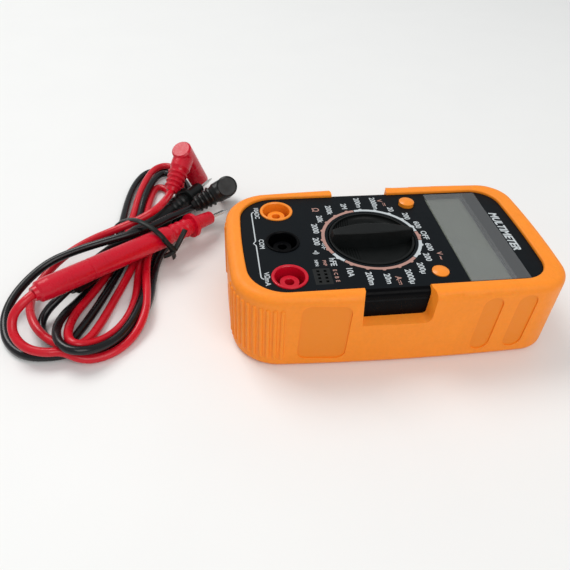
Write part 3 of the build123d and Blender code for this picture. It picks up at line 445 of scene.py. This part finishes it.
HANK_MIDDLE = (-47.0, -113.0, 8.0)
TIE_BAND = [
    (-59.4, -128.1, 1.0), (-60.0, -126.5, 5.0), (-57.9, -122.9, 11.0), (-51.1, -117.5, 17.0),
    (-43.1, -112.0, 21.8), (-37.4, -106.0, 22.2), (-33.6, -101.3, 20.4), (-31.6, -98.0, 16.8),
    (-32.6, -95.4, 10.4), (-35.4, -95.0, 3.0),
]
TIE_SECTION = [(-1.25, -0.2), (-0.5, -0.25), (0, -0.5), (0.5, -0.25), (1.25, -0.2),
               (1.25, 0.2), (0.5, 0.25), (0, 0.5), (-0.5, 0.25), (-1.25, 0.2)]
TIE_TWIST_RADIUS, TIE_TWIST_TURNS = 0.9, 2.5
TIE_TWIST_AXIS = [(-31.0, -98.4, 17.2), (-30.6, -96.1, 14.4), (-30.6, -94.2, 11.6)]
TIE_TAIL = [(-30.6, -94.2, 11.6), (-33.2, -91.4, 15.2), (-37.9, -88.6, 18.3)]
TIE_OTHER_TAIL = [(-30.6, -94.2, 11.6), (-29.0, -96.2, 10.2), (-29.4, -99.4, 9.2)]
TIE_TAIL_FACES = Vector((0.3, 0.2, 1))


def twisted(line, radius_mm, turns, phase):
    """A line that winds round another one."""
    wound = []
    for index, centre in enumerate(line):
        along = (line[min(index + 1, len(line) - 1)] - line[max(index - 1, 0)]).normalized()
        side = along.cross(Vector((0, 0, 1))).normalized()
        up = side.cross(along)
        angle = phase + 2 * pi * turns * index / (len(line) - 1)
        wound.append(centre + (side * cos(angle) + up * sin(angle)) * radius_mm * MM)
    return wound


def add_tie():
    """Flat plastic-coated wire round the hank, its ends twisted together."""
    build = bmesh.new()
    middle = Vector(HANK_MIDDLE) * MM
    line = route_line(TIE_BAND)
    sweep_section(build, line, TIE_SECTION, lambda index: line[index] - middle)
    axis = route_line(TIE_TWIST_AXIS)
    for phase in (0, pi):
        wound = twisted(axis, TIE_TWIST_RADIUS, TIE_TWIST_TURNS, phase)
        sweep_section(build, wound, TIE_SECTION, lambda index: wound[index] - axis[index])
    for tail in (TIE_TAIL, TIE_OTHER_TAIL):
        sweep_section(build, route_line(tail), TIE_SECTION, lambda index: TIE_TAIL_FACES)
    tie = add_piece("tie_band", mesh_of("tie_band", build), "tie_plastic", "leads")
    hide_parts("twist_tie")


add_tie()


# ---------------------------------------------------------------- jacks

# Radius and height above the brass of each corner of the bush that lines a jack's mouth.
BUSH_SECTION = [(1.9, -5.0), (1.9, 0.42), (2.06, 0.58), (2.98, 0.58), (2.98, 0.02), (2.03, 0.02),
                (2.03, -5.0)]
BUSH_STEPS = 48


def add_jack_bush(name, material_slot):
    """Moulded bush in the mouth of a jack's inner sleeve, over the brass."""
    low, high = low_high(f"jack_socket_{name}")
    middle_x, middle_y = (low.x + high.x) / 2, (low.y + high.y) / 2
    build = bmesh.new()
    rings = []
    for step in range(BUSH_STEPS):
        turn = 2 * pi * step / BUSH_STEPS
        places = [(middle_x + radius * cos(turn), middle_y + radius * sin(turn), high.z + rise)
                  for radius, rise in BUSH_SECTION]
        rings.append([build.verts.new(Vector(place) * MM) for place in places])
    count = len(BUSH_SECTION)
    for first, second in zip(rings, rings[1:] + rings[:1]):
        for corner in range(count):
            after = (corner + 1) % count
            build.faces.new((first[corner], second[corner], second[after], first[after]))
    mesh = mesh_of(f"jack_bush_{name}", build, smooth=False)
    add_piece(f"jack_bush_{name}", mesh, material_slot, "meter")


for jack, jack_slot in (("amps", "orange_plastic"), ("common", "case_plastic"),
                        ("volts", "red_plastic")):
    add_jack_bush(jack, jack_slot)


# ---------------------------------------------------------------- print on the face

FACE_Z = low_high("faceplate")[1].z
DIAL_Y = (low_high("selector_knob")[0].y + low_high("selector_knob")[1].y) / 2
DIAL_POSITIONS = 20
PRINT_LIFT = 0.03
DOT_HEIGHT, DOT_SIDES = 0.06, 20
TEXT_HALF_HEIGHT = 0.01
STROKE_HALF_HEIGHT = 0.02
SIGN_STROKE = 0.35
THIN = 0.015
RING_INNER, RING_OUTER = 20.4, 21.8
RING_FOOT, RING_TOP = 0.005, PRINT_LIFT + 0.02
RING_DEGREES_A_STEP = 2
RING_DOT_RADIUS, RING_DOT_INSET = 0.95, 0.35
WHITE_INK = moulded("white_ink", (0.54, 0.58, 0.60), (0.4, 0.5), grain=0.2, grain_depth=0.005,
                    wear=0.0).material
ROSE_INK = moulded("rose_ink", (0.44, 0.24, 0.20), (0.4, 0.5), grain=0.2, grain_depth=0.005,
                   wear=0.0).material


def add_text(build, words, x, y, size, shear=0.0, bold=0.02):
    """Lettering laid flat on the face, centred on x, y, in millimetres."""
    curve = bpy.data.curves.new("words", "FONT")
    curve.body = words
    curve.size = size * MM
    curve.align_x = "CENTER"
    curve.align_y = "CENTER"
    curve.shear = shear
    curve.offset = bold * size * MM
    curve.extrude = TEXT_HALF_HEIGHT * MM
    curve.resolution_u = 3
    holder = bpy.data.objects.new("words", curve)
    mesh = bpy.data.meshes.new_from_object(holder)
    mesh.transform(Matrix.Translation(Vector((x, y, FACE_Z + PRINT_LIFT)) * MM))
    build.from_mesh(mesh)
    bpy.data.objects.remove(holder)
    bpy.data.meshes.remove(mesh)


def add_ring_part(build, start, end):
    """Part of the flat ring round the dial; angles clockwise from OFF, in degrees."""
    steps = max(2, int((end - start) / RING_DEGREES_A_STEP))
    low, high = (FACE_Z + RING_FOOT) * MM, (FACE_Z + RING_TOP) * MM
    rings = []
    for step in range(steps + 1):
        angle = radians(start + (end - start) * step / steps)
        spoke = Vector((sin(angle), cos(angle), 0)) * MM
        centre = Vector((0, DIAL_Y * MM, 0))
        near, far = centre + spoke * RING_INNER, centre + spoke * RING_OUTER
        rings.append([build.verts.new((*near.xy, low)), build.verts.new((*far.xy, low)),
                      build.verts.new((*far.xy, high)), build.verts.new((*near.xy, high))])
    for first, second in zip(rings, rings[1:]):
        for corner in range(4):
            after = (corner + 1) % 4
            build.faces.new((first[corner], second[corner], second[after], first[after]))
    build.faces.new(rings[0])
    build.faces.new(rings[-1][::-1])


def add_dot(build, x, y, radius):
    """A round printed dot, in millimetres."""
    place = Matrix.Translation(Vector((x, y, FACE_Z + PRINT_LIFT)) * MM)
    bmesh.ops.create_cone(build, cap_ends=True, segments=DOT_SIDES,
                          radius1=radius * MM, radius2=radius * MM, depth=DOT_HEIGHT * MM,
                          matrix=place)


def add_line(build, points, width):
    """A printed line through flat points, in millimetres."""
    side, top = width / 2, STROKE_HALF_HEIGHT
    line = [Vector((x, y, FACE_Z + PRINT_LIFT)) * MM for x, y in points]
    section = [(-side, -top), (side, -top), (side, top), (-side, top)]
    sweep_section(build, line, section, lambda index: Vector((0, 0, 1)))


# Label, angle clockwise from OFF, distance from the dial's centre.
DIAL_LABELS = [
    ("OFF", 0, 24.0), ("600", 20, 24.8), ("200", 37, 25.4), ("200µ", 55, 27.2),
    ("2000µ", 71, 28.6), ("20m", 90, 27.6), ("200m", 105, 27.8), ("10A", 123, 26.4),
    ("hFE", 143, 25.2), ("200", 178, 24.6), ("2000", 200, 25.0), ("20k", 218, 25.6),
    ("200k", 237, 27.0), ("2M", 254, 26.0), ("200m", 270, 27.6), ("2000m", 286, 27.6),
    ("20", 304, 25.4), ("200", 323, 25.0), ("600", 341, 24.4),
]
# Start and end of each range on the ring, clockwise from OFF.
WHITE_RANGES = [(9.5, 44.5), (135.5, 152.5), (261.5, 351.0)]
ROSE_RANGES = [(-8.0, 8.5), (45.5, 134.5), (153.5, 260.5)]
LABEL_SIZE = 3.6


def add_ring(build, ranges):
    """One colour's share of the dial's ring, with a dot at each position inside its ranges."""
    step = 360 / DIAL_POSITIONS
    for start, end in ranges:
        add_ring_part(build, start, end)
        for position in range(-1, DIAL_POSITIONS):
            angle = position * step
            if start < angle < end:
                turn = radians(angle)
                reach = RING_OUTER - RING_DOT_INSET
                add_dot(build, reach * sin(turn), DIAL_Y + reach * cos(turn), RING_DOT_RADIUS)


def add_direct_sign(build, x, y):
    """The sign for direct current: a bar over three dashes."""
    add_line(build, [(x - 1.3, y + 0.35), (x + 1.3, y + 0.35)], SIGN_STROKE)
    for dash in (-1, 0, 1):
        add_line(build, [(x + dash - 0.3, y - 0.45), (x + dash + 0.3, y - 0.45)], SIGN_STROKE)


def add_diode_sign(build, x, y):
    """The diode sign: a wire, a bar and a filled arrowhead of three upright strokes."""
    add_line(build, [(x - 2.2, y), (x + 2.2, y)], 0.3)
    add_line(build, [(x + 0.9, y - 1.0), (x + 0.9, y + 1.0)], 0.4)
    for half in (0.25, 0.6, 0.95):
        add_line(build, [(x - 0.95 + half, y - 1.0 + half), (x - 0.95 + half, y + 1.0 - half)], 0.5)


def arc_points(x, y, radius, start, end):
    """Points along an arc, from one angle to another in degrees."""
    steps = 8
    angles = [radians(start + (end - start) * step / steps) for step in range(steps + 1)]
    return [(x + radius * cos(angle), y + radius * sin(angle)) for angle in angles]


def add_buzzer_sign(build, x, y):
    """The sign for the buzzer: a dot with two sound waves."""
    add_dot(build, x, y, 0.45)
    for radius in (1.1, 1.8):
        add_line(build, arc_points(x, y, radius, -50, 50), SIGN_STROKE)


# Words beside the dial: words, x, y, size.
MODE_WORDS = [("V", -28.6, 3.6, 3.4), ("A", 27.6, -3.0, 3.4), ("V", 13.2, 19.0, 3.4),
              ("Ω", -23.2, -28.2, 4.2)]
DIRECT_SIGNS = [(-25.4, 5.2), (30.3, -3.0)]
# Words beside the jacks, towards the lower end: words, x.
JACK_WORDS = [("10ADC", -22.6), ("COM", 0.8), ("VΩmA", 23.6)]
JACK_WORDS_Y, JACK_WORDS_SIZE = -55.3, 2.9
# The bracket that joins the three jacks: x and height over its straight part.
BRACKET_Y, BRACKET_STROKE = -57.6, 0.5
BRACKET = [(-23.4, 1.1), (-22.6, 0.2), (-21.8, 0), (-1.4, 0), (0.2, -1.0), (1.8, 0), (22.2, 0),
           (23.0, 0.2), (23.8, 1.1)]


def add_dial_print(white, rose):
    """Range labels round the dial, and the ring in two colours."""
    for words, angle, reach in DIAL_LABELS:
        turn = radians(angle)
        add_text(white, words, reach * sin(turn), DIAL_Y + reach * cos(turn), LABEL_SIZE)
    add_ring(white, WHITE_RANGES)
    add_ring(rose, ROSE_RANGES)


def add_mode_print(white, rose):
    """What each group of ranges measures."""
    for words, x, y, size in MODE_WORDS:
        add_text(rose, words, x, y, size, bold=THIN)
    for x, y in DIRECT_SIGNS:
        add_direct_sign(rose, x, y)
    add_text(rose, "~", 16.2, 18.8, 4.0)
    add_diode_sign(white, 4.4, -29.2)
    add_buzzer_sign(white, 7.6, -33.2)


def add_transistor_print(white, rose):
    """Names of the transistor socket's rows and legs."""
    add_text(rose, "PNP", 15.6, -30.8, 2.0)
    add_text(white, "NPN", 15.4, -34.2, 2.0)
    for index, letter in enumerate("ECBE"):
        add_text(rose, letter, 20.6 + 2.2 * index, -27.6, 2.2)


def add_face_print():
    """All print on the face, as one piece for each ink."""
    white, rose = bmesh.new(), bmesh.new()
    add_dial_print(white, rose)
    add_mode_print(white, rose)
    add_transistor_print(white, rose)
    for words, x in JACK_WORDS:
        add_text(white, words, x, JACK_WORDS_Y, JACK_WORDS_SIZE)
    add_text(white, "MULTIMETER", -0.6, 54.0, 4.9, shear=0.2, bold=0.035)
    add_line(white, [(x, BRACKET_Y + rise) for x, rise in BRACKET], BRACKET_STROKE)
    for name, build, ink in (("print_white", white, WHITE_INK), ("print_rose", rose, ROSE_INK)):
        add_piece(name, mesh_of(name, build, smooth=False), "overlay", "meter", ink)


add_face_print()


# ---------------------------------------------------------------- floor and light

FLOOR_SIZE = 3.0
SKY_COLOUR, SKY_STRENGTH = (0.95, 0.98, 1.0, 1), 0.50
MIDDLE = (0.0, -0.05, 0.02)
# Name, place, size, power and colour of each light.
LIGHTS = [
    ("window_light", (-0.70, -0.60, 1.30), 0.8, 12.0, (1.0, 0.99, 0.97)),
    ("room_light", (0.9, 0.25, 1.0), 0.9, 7.0, (1.0, 0.98, 0.96)),
]


def add_floor():
    """Plain pale floor under the part."""
    build = bmesh.new()
    bmesh.ops.create_grid(build, x_segments=1, y_segments=1, size=FLOOR_SIZE)
    floor = bpy.data.objects.new("floor", mesh_of("floor", build, smooth=False))
    bpy.context.scene.collection.objects.link(floor)
    paint = Paint("floor_paint", (0.86, 0.86, 0.85), 0.55)
    paint.tint(paint.spread(paint.noise(40.0, seed=1.0), 0.0, 0.12), (0.78, 0.78, 0.78))
    paint.bump(paint.noise(1.5), 0.03, 0.4)
    floor.data.materials.append(paint.material)


def add_area_light(name, place, size, power, colour):
    """Square soft light that points at the middle of the part."""
    data = bpy.data.lights.new(name, "AREA")
    data.size = size
    data.energy = power
    data.color = colour
    light = bpy.data.objects.new(name, data)
    light.location = place
    aim = Vector(place) - Vector(MIDDLE)
    light.rotation_euler = aim.to_track_quat("Z", "Y").to_euler()
    bpy.context.scene.collection.objects.link(light)


def add_world():
    """Even, slightly blue light from all round."""
    world = bpy.data.worlds.new("studio")
    world.use_nodes = True
    sky = world.node_tree.nodes["Background"]
    sky.inputs["Color"].default_value = SKY_COLOUR
    sky.inputs["Strength"].default_value = SKY_STRENGTH
    bpy.context.scene.world = world


add_floor()
add_world()
for light in LIGHTS:
    add_area_light(*light)
